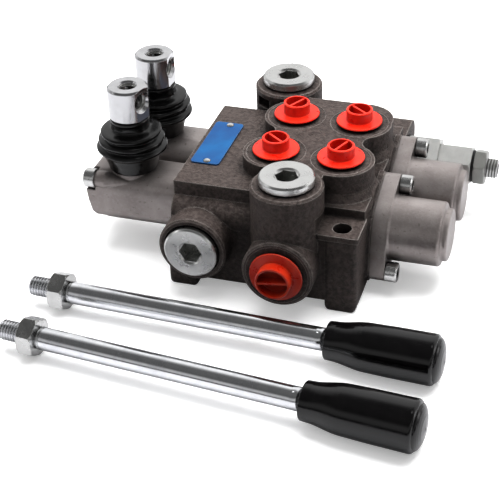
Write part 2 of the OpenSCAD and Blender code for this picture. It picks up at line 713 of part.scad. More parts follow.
// ---------- loose hand levers, lying in front of the valve ----------
// Each is drawn along +Z from its threaded tip, then laid on its nut and grip
nut_flats = 17;
nut_corner_r = nut_flats / 2 / cos(30);
nut_z = 12.4;
neck_r = 4.6;                  // rod inside the nut
shank_z = nut_z + 8.5;         // where the full rod begins
grip_z = nut_z + 8.6 + rod_len;
grip_bore_r = thread_r + 0.05;
lever_pitch = asin((grip_r + 0.05 - nut_corner_r) / (grip_z + 50 - nut_z - 4));
TIPS = [[-123.1, -87.7], [-121.7, -124.3]];   // x and y of the threaded tips
YAWS = [-2.86, -5.55];
module lever_frame(i) {
  tip_z = -spool_h + nut_corner_r + 0.02 - (nut_z + 4) * sin(lever_pitch);
  place() translate([TIPS[i].x, TIPS[i].y, tip_z])
    rotate([0, -lever_pitch, YAWS[i]]) rotate([0, 90, 0]) children();
}
module lever_rod(i) {
  lever_frame(i) rotate_extrude() polygon([
    [0, 0], [thread_r - 1, 0], [thread_r, 1], [thread_r, nut_z], [neck_r, nut_z],
    [neck_r, shank_z], [rod_r - 0.6, shank_z], [rod_r, shank_z + 0.6], [rod_r, grip_z - 0.05],
    [thread_r, grip_z - 0.05], [thread_r, grip_z + 22], [0, grip_z + 22]]);
}
module lever_nut(i) {
  lever_frame(i) translate([0, 0, nut_z]) difference() {
    intersection() {
      linear_extrude(8) hexagon(nut_flats);
      chamfered(8, nut_corner_r, 1, 1);
    }
    translate([0, 0, -1]) cylinder(h = 10, r = neck_r + 0.03);
  }
}
// Grip: narrow collar, smooth swell, long taper, rounded shoulder, domed end and blind bore
module lever_grip(i) {
  lever_frame(i) translate([0, 0, grip_z]) rotate_extrude() polygon(concat(
    [[grip_bore_r, 0], [grip_r - 3.3, 0], [grip_r - 2.9, 0.4], [grip_r - 2.8, 2]],
    [for (k = [1:8]) [grip_r - 2.8 + 2.3 * (0.5 - 0.5 * cos(k * 22.5)), 2 + k * 2.2]],
    [[grip_r - 0.2, 30], [grip_r, 49.6]],
    [for (a = [15:15:75]) [grip_r - 2 + 2 * cos(a), 49.6 + 2 * sin(a)]],
    [for (k = [1:6])
      [(grip_r - 2) * sqrt(1 - k * k / 36) + 0.6 * (1 - k / 6), 51.6 + 3.4 * k / 6]],
    [[0, 55], [0, 22.5], [grip_bore_r, 22.5]]));
}
module lever_rod_1() { color(rod_grey) lever_rod(0); }
module lever_nut_1() { color(nut_grey) lever_nut(0); }
module lever_grip_1() { color(grip_black) lever_grip(0); }
module lever_rod_2() { color(rod_grey) lever_rod(1); }
module lever_nut_2() { color(nut_grey) lever_nut(1); }
module lever_grip_2() { color(grip_black) lever_grip(1); }

valve_body();
nameplate();
nameplate_rivets();
front_top_plug();
rear_top_plug();
side_plug();
plug_seals();
port_cap_a1();
port_cap_b1();
port_cap_a2();
port_cap_b2();
inlet_cap();
spool_1();
spool_2();
spool_seals();
spring_bolt_1();
spring_bolt_2();
spring_cups_1();
spring_cups_2();
return_spring_1();
return_spring_2();
spring_cap_1();
spring_cap_2();
spring_cap_screws();
lever_box_1();
lever_box_2();
lever_box_screws();
pivot_seats();
lever_stem_1();
lever_stem_2();
lever_socket_1();
lever_socket_2();
boot_1();
boot_2();
relief_body();
relief_seals();
relief_locknut();
relief_adjuster();
relief_spring();
relief_poppet();
check_poppet();
check_spring();
lever_rod_1();
lever_nut_1();
lever_grip_1();
lever_rod_2();
lever_nut_2();
lever_grip_2();
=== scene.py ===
"""A two-lever control valve: a cast iron body with aluminium caps, plated plugs, red port caps
and rubber boots, and two loose hand levers with threaded tips.

Metres, +Z up, on a floor just below z = 0. The camera looks towards +Y, from a little to +X.
"""
import json
import math
import bpy
import bmesh
from mathutils import Matrix, Vector


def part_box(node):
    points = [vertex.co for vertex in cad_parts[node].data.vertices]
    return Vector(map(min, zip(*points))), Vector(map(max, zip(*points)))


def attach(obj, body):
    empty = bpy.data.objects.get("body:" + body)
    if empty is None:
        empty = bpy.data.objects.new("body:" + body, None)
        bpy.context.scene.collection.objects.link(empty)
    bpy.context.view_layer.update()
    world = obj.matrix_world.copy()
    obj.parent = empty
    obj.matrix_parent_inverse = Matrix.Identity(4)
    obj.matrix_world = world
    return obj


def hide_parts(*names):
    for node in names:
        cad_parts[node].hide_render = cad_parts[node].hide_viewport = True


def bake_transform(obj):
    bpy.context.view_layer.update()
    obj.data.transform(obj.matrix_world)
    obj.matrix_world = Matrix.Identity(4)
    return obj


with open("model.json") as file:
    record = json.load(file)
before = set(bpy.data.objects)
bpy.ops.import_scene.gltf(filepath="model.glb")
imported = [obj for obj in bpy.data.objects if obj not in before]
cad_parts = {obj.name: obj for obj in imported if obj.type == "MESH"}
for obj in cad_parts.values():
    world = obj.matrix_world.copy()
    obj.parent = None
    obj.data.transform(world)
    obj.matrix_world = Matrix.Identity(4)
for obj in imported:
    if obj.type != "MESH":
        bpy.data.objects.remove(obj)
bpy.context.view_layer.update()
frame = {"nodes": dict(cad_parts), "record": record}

scene = bpy.context.scene
MOUNTS = frame["record"]["mounts"]
MM = 0.001
THREAD_PITCH = 1.5  # mm, every thread


def mount(name):
    return next(entry for entry in MOUNTS if entry["name"] == name)


def centre(piece):
    low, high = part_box(piece)
    return (low + high) / 2


# ------------------------------------------------------------------ node helpers
class Nodes:
    """Short calls for building the node tree of a material or world."""

    def __init__(self, owner):
        owner.use_nodes = True
        self.tree = owner.node_tree
        self.tree.nodes.clear()

    def node(self, kind, **settings):
        node = self.tree.nodes.new(kind)
        for name, value in settings.items():
            setattr(node, name, value)
        return node

    def put(self, socket, value):
        """Link an output to an input socket, or set the input's value."""
        if hasattr(value, "links"):
            self.tree.links.new(value, socket)
        else:
            socket.default_value = value

    def math(self, operation, *values):
        node = self.node("ShaderNodeMath", operation=operation)
        for socket, value in zip(node.inputs, values):
            self.put(socket, value)
        return node.outputs[0]

    def add(self, first, second):
        return self.math("ADD", first, second)

    def times(self, first, second):
        return self.math("MULTIPLY", first, second)

    def vector_math(self, operation, first, second):
        node = self.node("ShaderNodeVectorMath", operation=operation)
        self.put(node.inputs[0], first)
        self.put(node.inputs[1], second)
        return node.outputs["Value" if operation == "DOT_PRODUCT" else "Vector"]

    def ramp(self, value, stops):
        """Grey ramp through stops of (position, grey)."""
        node = self.node("ShaderNodeValToRGB")
        self.put(node.inputs[0], value)
        elements = node.color_ramp.elements
        while len(elements) < len(stops):
            elements.new(0.5)
        for element, (position, grey) in zip(elements, stops):
            element.position = position
            element.color = (grey, grey, grey, 1)
        return node.outputs[0]

    def fade(self, value, span, grey=(0.0, 1.0)):
        """Change from one grey to the other as the value crosses the span."""
        return self.ramp(value, list(zip(span, grey)))


class Surface(Nodes):
    """A material round one Principled shader, patterned in object coordinates."""

    def __init__(self, name):
        self.material = bpy.data.materials.new(name)
        super().__init__(self.material)
        output = self.node("ShaderNodeOutputMaterial")
        self.shader = self.node("ShaderNodeBsdfPrincipled")
        self.put(output.inputs[0], self.shader.outputs[0])
        self.position = self.node("ShaderNodeTexCoord").outputs["Object"]

    def math(self, operation, first, second=0.0):
        # Inputs the operation does not use are set to 0.
        return super().math(operation, first, second, 0.0)

    def invert(self, value):
        return self.math("SUBTRACT", 1.0, value)

    def stretched(self, scale):
        return self.vector_math("MULTIPLY", self.position, scale)

    def noise(self, size_mm, detail=3.0, roughness=0.55, vector=None, distortion=0.0):
        node = self.node("ShaderNodeTexNoise")
        self.put(node.inputs["Vector"], self.position if vector is None else vector)
        node.inputs["Scale"].default_value = 1000.0 / size_mm
        node.inputs["Detail"].default_value = detail
        node.inputs["Roughness"].default_value = roughness
        node.inputs["Distortion"].default_value = distortion
        return node.outputs["Fac"]

    def mix(self, factor, under, over, blend="MIX"):
        node = self.node("ShaderNodeMix", data_type="RGBA", blend_type=blend)
        self.put(node.inputs[0], factor)
        for index, colour in ((6, under), (7, over)):
            self.put(node.inputs[index], colour if hasattr(colour, "links") else (*colour, 1))
        return node.outputs[2]

    def mottle(self, pattern, low, high, span=(0.35, 0.7)):
        """Colour that goes from low to high with a pattern."""
        return self.mix(self.fade(pattern, span), low, high)

    def tint(self, base, colour, mask, amount):
        """Lay a colour over the base where the mask is 1."""
        return self.mix(self.times(mask, amount), base, colour)

    def between(self, factor, low, high):
        node = self.node("ShaderNodeMix", data_type="FLOAT")
        for index, value in ((0, factor), (2, low), (3, high)):
            self.put(node.inputs[index], value)
        return node.outputs[0]

    def bevel(self, radius_mm, samples=4):
        node = self.node("ShaderNodeBevel", samples=samples)
        node.inputs["Radius"].default_value = radius_mm * MM
        return node.outputs[0]

    def bump(self, height, strength, depth_mm, round_mm, samples=4):
        """Bumps over a normal that rounds the sharp edges."""
        node = self.node("ShaderNodeBump")
        self.put(node.inputs["Height"], height)
        node.inputs["Strength"].default_value = strength
        node.inputs["Distance"].default_value = depth_mm * MM
        self.put(node.inputs["Normal"], self.bevel(round_mm, samples))
        return node.outputs[0]

    def edge(self, radius_mm, span=(0.03, 0.3)):
        """1 along sharp edges, 0 elsewhere."""
        normal = self.node("ShaderNodeNewGeometry").outputs["Normal"]
        match = self.vector_math("DOT_PRODUCT", self.bevel(radius_mm), normal)
        return self.fade(self.invert(match), span)

    def openness(self, reach_mm, samples=6):
        """Ambient occlusion: 1 in the open, lower in hollows."""
        node = self.node("ShaderNodeAmbientOcclusion", samples=samples)
        node.inputs["Distance"].default_value = reach_mm * MM
        return node.outputs["AO"]

    def hollows(self, reach_mm, span, samples=6):
        """1 in hollows, 0 in the open."""
        return self.invert(self.fade(self.openness(reach_mm, samples), span))

    def shade_hollows(self, base, reach_mm, span, grey):
        return self.mix(1.0, base, self.fade(self.openness(reach_mm, 8), span, grey), "MULTIPLY")

    def offsets(self, origin, axis):
        """Metres from a point: the two offsets across the axis, then the one along it."""
        split = self.node("ShaderNodeSeparateXYZ")
        self.put(split.inputs[0], self.vector_math("SUBTRACT", self.position, tuple(origin)))
        x, y, z = split.outputs
        return {"X": (y, z, x), "Y": (x, z, y), "Z": (x, y, z)}[axis]

    def radius_mm(self, across, other):
        squares = self.add(self.times(across, across), self.times(other, other))
        return self.times(self.math("SQRT", squares), 1000.0)

    def finish(self, colour, roughness, metallic=0.0, normal=None, **more):
        """Fill the shader; further inputs are named with _ for each space."""
        inputs = self.shader.inputs
        self.put(inputs["Base Color"], colour)
        self.put(inputs["Roughness"], roughness)
        self.put(inputs["Metallic"], metallic)
        if normal is not None:
            self.put(inputs["Normal"], normal)
        for name, value in more.items():
            self.put(inputs[name.replace("_", " ")], value)
        return self.material


def scaled(colour, factor):
    return tuple(min(1, factor * channel) for channel in colour)


# ------------------------------------------------------------------ materials
def cast_iron():
    mat = Surface("cast_iron")
    grain = mat.noise(size_mm=2.1, detail=4, roughness=0.7)
    fine = mat.noise(size_mm=0.6, detail=2, roughness=0.5)
    blotch = mat.noise(size_mm=16, detail=4, roughness=0.6, distortion=0.4)
    pits = mat.fade(mat.noise(size_mm=3.0, detail=2, roughness=0.5), span=(0.30, 0.38))
    colour = mat.mottle(blotch, span=(0.35, 0.68),
                        low=(0.045, 0.034, 0.031), high=(0.072, 0.056, 0.051))
    colour = mat.tint(colour, colour=(0.135, 0.110, 0.100),
                      mask=mat.fade(grain, span=(0.46, 0.60)), amount=0.55)
    colour = mat.tint(colour, colour=(0.022, 0.016, 0.014),
                      mask=mat.fade(grain, span=(0.34, 0.44), grey=(1.0, 0.0)), amount=0.6)
    # Lighter along edges, but not in tight corners: partly bare metal wear, partly painted
    # highlight.
    patchy = mat.fade(mat.noise(size_mm=5), span=(0.30, 0.62), grey=(0.45, 1.0))
    lighter_edges = mat.times(mat.edge(radius_mm=1.0, span=(0.02, 0.18)), patchy)
    lighter_edges = mat.times(lighter_edges, mat.fade(mat.openness(reach_mm=2.5), span=(0.50, 0.75)))
    colour = mat.tint(colour, colour=(0.48, 0.44, 0.41), mask=lighter_edges, amount=0.85)
    colour = mat.shade_hollows(colour, reach_mm=16, span=(0.22, 0.86), grey=(0.12, 1.0))
    height = mat.add(mat.times(grain, 1.0), mat.times(fine, 0.35))
    height = mat.add(height, mat.times(pits, 0.35))
    normal = mat.bump(height, strength=1.0, depth_mm=0.8, round_mm=1.9, samples=8)
    roughness = mat.between(mat.fade(grain, span=(0.3, 0.7)), low=0.48, high=0.66)
    return mat.finish(colour, roughness, metallic=0.1, normal=normal, Specular_IOR_Level=0.4)


def cast_aluminium():
    mat = Surface("cast_aluminium")
    peel = mat.noise(size_mm=1.5, roughness=0.6)
    fine = mat.noise(size_mm=0.5, detail=2, roughness=0.5)
    cloud = mat.noise(size_mm=14, distortion=0.5)
    colour = mat.mottle(cloud, span=(0.35, 0.65),
                        low=(0.30, 0.267, 0.257), high=(0.395, 0.357, 0.347))
    specks = mat.fade(mat.noise(size_mm=1.9, detail=2, roughness=0.4),
                      span=(0.26, 0.33), grey=(1.0, 0.0))
    colour = mat.tint(colour, colour=(0.13, 0.115, 0.108), mask=specks, amount=0.45)
    colour = mat.tint(colour, colour=(0.46, 0.425, 0.41),
                      mask=mat.fade(peel, span=(0.5, 0.68)), amount=0.3)
    patchy = mat.fade(mat.noise(size_mm=4), span=(0.3, 0.6), grey=(0.3, 1.0))
    lighter_edges = mat.times(mat.edge(radius_mm=0.5), patchy)
    colour = mat.tint(colour, colour=(0.66, 0.63, 0.61), mask=lighter_edges, amount=0.6)
    colour = mat.shade_hollows(colour, reach_mm=12, span=(0.1, 0.88), grey=(0.35, 1.0))
    height = mat.add(mat.times(peel, 0.9), mat.times(fine, 0.35))
    normal = mat.bump(height, strength=0.6, depth_mm=0.16, round_mm=1.2, samples=6)
    roughness = mat.between(mat.fade(peel, span=(0.3, 0.7)), low=0.29, high=0.43)
    return mat.finish(colour, roughness, metallic=0.72, normal=normal)


def turned(name, piece, axis, base=(0.74, 0.74, 0.73), rough=0.24, groove=0.25, dark=0.85,
           ring_mm=0.35, metal=1.0):
    """Bright plate with turning marks round a piece's axis; hollows get a dark greenish painted
    shade.
    """
    mat = Surface(name)
    across, other, along = mat.offsets(centre(piece), axis)
    ring_place = mat.node("ShaderNodeCombineXYZ")
    for socket, distance_mm in zip(ring_place.inputs, (mat.radius_mm(across, other),
                                                       mat.times(along, 1000.0))):
        mat.put(socket, mat.times(distance_mm, 0.001 / ring_mm))
    rings = mat.noise(size_mm=1.0, detail=2, roughness=0.6, vector=ring_place.outputs[0])
    cloud = mat.noise(size_mm=6, roughness=0.5)
    colour = mat.mottle(cloud, low=scaled(base, 0.86), high=base)
    colour = mat.tint(colour, colour=(0.55, 0.55, 0.53),
                      mask=mat.fade(rings, span=(0.4, 0.7)), amount=0.18)
    # Painted shade in the hollows, dark and greenish.
    colour = mat.tint(colour, colour=(0.055, 0.062, 0.045), amount=dark,
                      mask=mat.hollows(reach_mm=9, span=(0.22, 0.62), samples=8))
    # Painted highlight along the edges.
    colour = mat.tint(colour, colour=(0.95, 0.95, 0.94), mask=mat.edge(radius_mm=0.3), amount=0.3)
    normal = mat.bump(rings, strength=groove, depth_mm=0.02, round_mm=0.45)
    roughness = mat.between(mat.fade(cloud, span=(0.3, 0.7)), low=rough, high=rough + 0.10)
    return mat.finish(colour, roughness, metal, normal)


def adjuster_thread():
    """Plated steel with a screw thread along X, drawn as bumps."""
    base = (0.66, 0.66, 0.65)
    reach = 1e3  # mm each way from the centre, past both ends
    mat = Surface("relief_thread")
    across, other, along = mat.offsets(centre("relief_adjuster"), "X")
    along = mat.times(along, 1000.0)
    turn = mat.math("DIVIDE", mat.math("ARCTAN2", other, across), 2 * math.pi)
    phase = mat.math("FRACT", mat.add(mat.math("DIVIDE", along, THREAD_PITCH), turn))
    crest = mat.math("ABSOLUTE", mat.math("SUBTRACT", mat.times(phase, 2.0), 1.0))
    zone = mat.times(mat.math("GREATER_THAN", along, -reach), mat.math("LESS_THAN", along, reach))
    # Painted shade in the thread roots.
    colour = mat.tint(base, colour=scaled(base, 0.22), mask=mat.invert(crest), amount=zone)
    patchy = mat.fade(mat.noise(size_mm=5), span=(0.35, 0.7), grey=(0.0, 0.35))
    colour = mat.mix(patchy, under=colour, over=(0.45, 0.45, 0.43))
    normal = mat.bump(mat.times(crest, zone), strength=1.0, depth_mm=0.55, round_mm=0.3)
    roughness = mat.between(mat.noise(size_mm=3), low=0.28, high=0.28 + 0.12)
    return mat.finish(colour, roughness, metallic=1.0, normal=normal)


def steel(name, base, rough, dark=0.6):
    mat = Surface(name)
    cloud = mat.noise(size_mm=6.0)
    fine = mat.noise(size_mm=0.35, detail=2, roughness=0.5)
    colour = mat.mottle(cloud, low=scaled(base, 0.8), high=base)
    # Painted shade in the hollows.
    colour = mat.tint(colour, colour=(0.04, 0.04, 0.036), amount=dark,
                      mask=mat.hollows(reach_mm=6, span=(0.2, 0.7)))
    # Painted highlight along the edges.
    colour = mat.tint(colour, colour=scaled(base, 1.3), mask=mat.edge(radius_mm=0.3), amount=0.35)
    normal = mat.bump(fine, strength=0.2, depth_mm=0.03, round_mm=0.35)
    roughness = mat.between(cloud, low=rough, high=rough + 0.12)
    return mat.finish(colour, roughness, metallic=1.0, normal=normal)


def chrome_rod():
    mat = Surface("chrome_rod")
    streaks = mat.noise(size_mm=0.5, roughness=0.6, vector=mat.stretched(scale=(0.06, 1.0, 1.0)))
    smudge = mat.noise(size_mm=9, roughness=0.6, distortion=0.6)
    colour = mat.mottle(smudge, span=(0.4, 0.75), low=(0.86, 0.87, 0.89), high=(0.72, 0.73, 0.76))
    # Painted highlight along the edges.
    colour = mat.tint(colour, colour=(0.95, 0.95, 0.96), mask=mat.edge(radius_mm=0.3), amount=0.4)
    # Painted shade at the thread roots and in tight corners.
    roots = mat.fade(mat.openness(reach_mm=1.2), span=(0.35, 0.85), grey=(1.0, 0.0))
    colour = mat.tint(colour, colour=(0.05, 0.05, 0.05), mask=roots, amount=0.85)
    normal = mat.bump(streaks, strength=0.15, depth_mm=0.02, round_mm=0.2)
    roughness = mat.between(mat.fade(smudge, span=(0.35, 0.75)), low=0.12, high=0.22)
    return mat.finish(colour, roughness, metallic=1.0, normal=normal)


def rubber(name, base, rough, grain_mm, edge_highlight_grey):
    """Black rubber; base is the grey of the faces, and the edges get a lighter grey as a painted
    highlight.
    """
    mat = Surface(name)
    grain = mat.noise(size_mm=grain_mm, detail=2, roughness=0.5)
    waves = mat.noise(size_mm=7, distortion=0.7)
    colour = mat.mottle(waves, low=(base, base, base), high=(base * 2.0, base * 1.9, base * 1.9))
    # Painted highlight along the edges.
    colour = mat.tint(colour, colour=(edge_highlight_grey, 0.96 * edge_highlight_grey, 0.96 * edge_highlight_grey), amount=0.45,
                      mask=mat.edge(radius_mm=0.4, span=(0.03, 0.4)))
    height = mat.add(mat.times(grain, 0.25), waves)
    normal = mat.bump(height, strength=0.28, depth_mm=0.22, round_mm=0.4)
    roughness = mat.between(mat.fade(mat.noise(size_mm=3.5), span=(0.3, 0.7)),
                            low=rough, high=rough + 0.16)
    return mat.finish(colour, roughness, normal=normal, Specular_IOR_Level=0.5)


def red_plastic(name, shade_factor=1.0, green=1.0):
    """Red plastic; a scale below 1 on the red gives painted shade, and green scales the green of
    the main colours.
    """
    mat = Surface(name)
    waves = mat.noise(size_mm=5, roughness=0.5)
    colour = mat.mottle(waves, low=(0.78 * shade_factor, 0.016 * green, 0.005),
                        high=(0.90 * shade_factor, 0.036 * green, 0.011))
    # Painted shade in the hollows.
    colour = mat.tint(colour, colour=(0.40 * shade_factor, 0.006, 0.003), amount=0.75,
                      mask=mat.hollows(reach_mm=7, span=(0.25, 0.85)))
    # Painted highlight along the edges.
    colour = mat.tint(colour, colour=(1.0 * shade_factor, 0.20 * shade_factor, 0.11 * shade_factor), amount=0.45,
                      mask=mat.edge(radius_mm=0.4, span=(0.03, 0.35)))
    height = mat.add(mat.noise(size_mm=0.8, detail=2, roughness=0.5), mat.times(waves, 0.6))
    roughness = mat.between(mat.fade(waves, span=(0.3, 0.7)), low=0.26, high=0.38)
    # Duller in reflections, so that nearby metal does not turn red.
    colour = mat.tint(colour, colour=(0.10, 0.05, 0.045), amount=0.75,
                      mask=mat.node("ShaderNodeLightPath").outputs["Is Glossy Ray"])
    normal = mat.bump(height, strength=0.25, depth_mm=0.05, round_mm=0.4)
    return mat.finish(colour, roughness, normal=normal, Subsurface_Weight=0.12,
                      Subsurface_Scale=0.002, Subsurface_Radius=(1.0, 0.25, 0.12),
                      Specular_IOR_Level=0.5)


def blue_plate():
    mat = Surface("plate_blue")
    brushed = mat.noise(size_mm=0.5, roughness=0.6, vector=mat.stretched(scale=(1.0, 0.08, 1.0)))
    cloud = mat.noise(size_mm=18, roughness=0.6, distortion=0.5)
    colour = mat.mottle(cloud, span=(0.35, 0.65), low=(0.0, 0.056, 0.190), high=(0.0, 0.094, 0.262))
    colour = mat.tint(colour, colour=(0.35, 0.45, 0.60), mask=mat.edge(radius_mm=0.3), amount=0.75)
    scratches = mat.noise(size_mm=1.4, detail=4, roughness=0.7,
                          vector=mat.stretched(scale=(0.25, 2.0, 1.0)))
    colour = mat.tint(colour, colour=(0.35, 0.45, 0.62),
                      mask=mat.fade(scratches, span=(0.70, 0.76)), amount=0.35)
    # Nearly black in reflections.
    colour = mat.mix(mat.node("ShaderNodeLightPath").outputs["Is Glossy Ray"],
                     under=colour, over=(0.03, 0.035, 0.05))
    normal = mat.bump(brushed, strength=0.18, depth_mm=0.02, round_mm=0.25)
    roughness = mat.between(cloud, low=0.30, high=0.42)
    return mat.finish(colour, roughness, normal=normal, Specular_IOR_Level=0.35)


def phenolic():
    mat = Surface("grip_black")
    waves = mat.noise(size_mm=8, roughness=0.5)
    colour = mat.mottle(waves, low=(0.0010, 0.0008, 0.0011), high=(0.0022, 0.0018, 0.0021))
    # Painted highlight along the edges.
    colour = mat.tint(colour, colour=(0.010, 0.009, 0.009), amount=0.3,
                      mask=mat.edge(radius_mm=0.4, span=(0.03, 0.4)))
    fine = mat.noise(size_mm=0.7, detail=2, roughness=0.5)
    height = mat.add(mat.times(fine, 0.2), waves)
    roughness = mat.between(mat.fade(mat.noise(size_mm=4), span=(0.35, 0.75)), low=0.10, high=0.22)
    normal = mat.bump(height, strength=0.12, depth_mm=0.12, round_mm=0.5)
    return mat.finish(colour, roughness, normal=normal, Coat_Weight=0.15, Coat_Roughness=0.05,
                      Specular_IOR_Level=0.5)


def seat_plastic():
    mat = Surface("seat_plastic")
    waves = mat.noise(size_mm=3, roughness=0.5)
    colour = mat.mottle(waves, low=(0.62, 0.60, 0.53), high=(0.72, 0.70, 0.64))
    normal = mat.bump(mat.noise(size_mm=0.5), strength=0.2, depth_mm=0.05, round_mm=0.3)
    return mat.finish(colour, mat.between(waves, low=0.38, high=0.5), normal=normal)


def give(material, *pieces):
    for piece in pieces:
        slots = frame["nodes"][piece].data.materials
        slots.clear()
        slots.append(material)


BOOT = rubber("boot_rubber", base=0.0010, rough=0.11, grain_mm=0.9, edge_highlight_grey=0.07)
GRIP = phenolic()
ROD = chrome_rod()

give(cast_iron(), "valve_body")
give(cast_aluminium(), "spring_cap_1", "spring_cap_2", "lever_box_1", "lever_box_2")
give(rubber("seal_rubber", base=0.006, rough=0.4, grain_mm=0.4, edge_highlight_grey=0.012),
     "plug_seals", "spool_seals", "relief_seals")
give(red_plastic("cap_red"), "port_cap_a1", "port_cap_b1", "port_cap_a2", "port_cap_b2")
# Darker red here is painted shade for the front-facing inlet cap; the extra green makes it more
# orange.
give(red_plastic("inlet_red_painted_shade", shade_factor=0.70, green=1.35), "inlet_cap")
give(blue_plate(), "nameplate")
give(steel("ground_steel", base=(0.62, 0.63, 0.65), rough=0.20), "spool_1", "spool_2",
     "lever_stem_1", "lever_stem_2", "relief_poppet", "check_poppet")
give(steel("dark_steel", base=(0.30, 0.30, 0.31), rough=0.32),
     "spring_bolt_1", "spring_bolt_2", "spring_cups_1", "spring_cups_2")
give(steel("spring_steel", base=(0.34, 0.35, 0.37), rough=0.30),
     "return_spring_1", "return_spring_2", "relief_spring", "check_spring")
give(steel("zinc_small", base=(0.80, 0.80, 0.79), rough=0.20, dark=0.85),
     "spring_cap_screws", "lever_box_screws")
give(seat_plastic(), "pivot_seats")
give(turned("plug_front", "front_top_plug", "Z"), "front_top_plug")
give(turned("plug_rear", "rear_top_plug", "Z"), "rear_top_plug")
give(turned("plug_side", "side_plug", "Y"), "side_plug")
for i in (1, 2):
    give(turned(f"socket_{i}", f"lever_socket_{i}", "Z", base=(0.70, 0.70, 0.715), rough=0.13,
                groove=0.2, ring_mm=0.5, dark=0.97), f"lever_socket_{i}")
    give(GRIP, f"lever_grip_{i}")
    give(turned(f"nut_{i}", f"lever_nut_{i}", "X", base=(0.66, 0.66, 0.65), rough=0.20,
                groove=0.2), f"lever_nut_{i}")
give(turned("relief_plated", "relief_adjuster", "X", base=(0.74, 0.74, 0.72), rough=0.34,
            groove=0.4, metal=0.8), "relief_body")
give(turned("relief_nut", "relief_adjuster", "X", base=(0.42, 0.42, 0.40), rough=0.34,
            dark=0.8, metal=0.8), "relief_locknut")
give(adjuster_thread(), "relief_adjuster")
give(steel("rivet", base=(0.85, 0.85, 0.84), rough=0.22), "nameplate_rivets")


# ------------------------------------------------------------------ mesh helpers
def new_piece(name, verts, faces, material):
    mesh = bpy.data.meshes.new(name)
    mesh.from_pydata(verts, [], faces)
    mesh.validate()
    edit = bmesh.new()
    edit.from_mesh(mesh)
    bmesh.ops.recalc_face_normals(edit, faces=edit.faces)
    edit.to_mesh(mesh)
    edit.free()
    for face in mesh.polygons:
        face.use_smooth = True
    mesh.materials.append(material)
    piece = bpy.data.objects.new(name, mesh)
    scene.collection.objects.link(piece)
    return piece


def lathe(rows, segments, radius):
    """Surface turned round Z from rows of (r, z) in mm, each r altered by radius(r, z, angle).
    A row with r = 0 becomes a point; a profile that starts off the axis is closed to a loop."""
    verts, rings = [], []
    for r, z in rows:
        if r < 1e-9:
            rings.append([len(verts)] * segments)
            verts.append((0, 0, z * MM))
            continue
        rings.append(list(range(len(verts), len(verts) + segments)))
        for k in range(segments):
            angle = 2 * math.pi * k / segments
            reach = radius(r, z, angle)
            verts.append((reach * math.cos(angle) * MM, reach * math.sin(angle) * MM, z * MM))
    faces = []
    bands = len(rows) if rows[0][0] > 1e-9 else len(rows) - 1
    for i in range(bands):
        lower, upper = rings[i], rings[(i + 1) % len(rows)]
        for k in range(segments):
            j = (k + 1) % segments
            # Dropping repeated corners leaves triangles at the axis.
            corners = list(dict.fromkeys((lower[k], lower[j], upper[j], upper[k])))
            if len(corners) > 2:
                faces.append(corners)
    return verts, faces


def spline(points, steps):
    """Catmull-Rom curve through the points."""
    curve = []
    for i in range(len(points) - 1):
        near = (points[max(i - 1, 0)], points[i], points[i + 1],
                points[min(i + 2, len(points) - 1)])
        for k in range(steps):
            t = k / steps
            curve.append(tuple(
                0.5 * (2 * p1 + (p2 - p0) * t + (2 * p0 - 5 * p1 + 4 * p2 - p3) * t * t
                       + (3 * p1 - p0 - 3 * p2 + p3) * t ** 3)
                for p0, p1, p2, p3 in zip(*near)))
    curve.append(points[-1])
    return curve


def aim(verts, origin, direction):
    """Turn +Z to the unit direction and move to the origin."""
    turn = direction.to_track_quat("Z", "Y").to_matrix().to_4x4()
    place = Matrix.Translation(origin) @ turn
    return [tuple(place @ Vector(vert)) for vert in verts]


def clamp(value):
    return min(1.0, max(0.0, value))


def fade_ends(z, start, end, run_in, run_out):
    """1 along the middle, falling to 0 at start and end."""
    return clamp((z - start) / run_in) * clamp((end - z) / run_out)


def thread_wave(z, angle):
    """Screw thread: 1 at a crest, 0 at a root."""
    return abs(2 * ((z / THREAD_PITCH + angle / (2 * math.pi)) % 1.0) - 1)


# ------------------------------------------------------------------ boots
# Rows of (radius, height) in mm; heights count from BOOT_DROP below the CAD boot's foot.
BOOT_DROP = 16.5
BOOT_OUTSIDE = [
    (12.0, 16.55), (12.35, 16.8), (12.8, 17.9), (13.3, 19.9), (14.0, 22.0), (15.0, 25.0),
    (15.6, 26.0), (16.9, 26.8), (17.9, 27.8), (18.15, 28.6), (17.7, 29.5), (16.5, 30.2),
    (15.95, 30.8), (16.2, 31.6), (16.95, 32.3), (17.1, 33.1), (16.6, 34.0), (15.3, 34.6),
    (14.5, 35.1), (14.6, 35.7), (15.4, 36.4), (15.6, 37.1), (15.2, 37.8), (13.8, 38.2),
    (11.4, 38.5), (10.1, 39.0), (9.7, 40.2), (9.75, 42.0), (10.0, 43.6), (9.8, 44.5),
    (9.2, 44.75)]
BOOT_INSIDE = [
    (8.15, 44.75), (8.15, 38.6), (9.4, 37.3), (12.4, 36.7), (13.1, 35.4), (14.2, 33.4),
    (14.2, 31.2), (15.3, 28.8), (14.0, 26.8), (12.3, 23.8), (10.6, 20.0), (10.0, 16.55)]
BOOT_BEND = (24.5, 38.5)  # heights where the boot would start and end following its lever; nothing here bends it


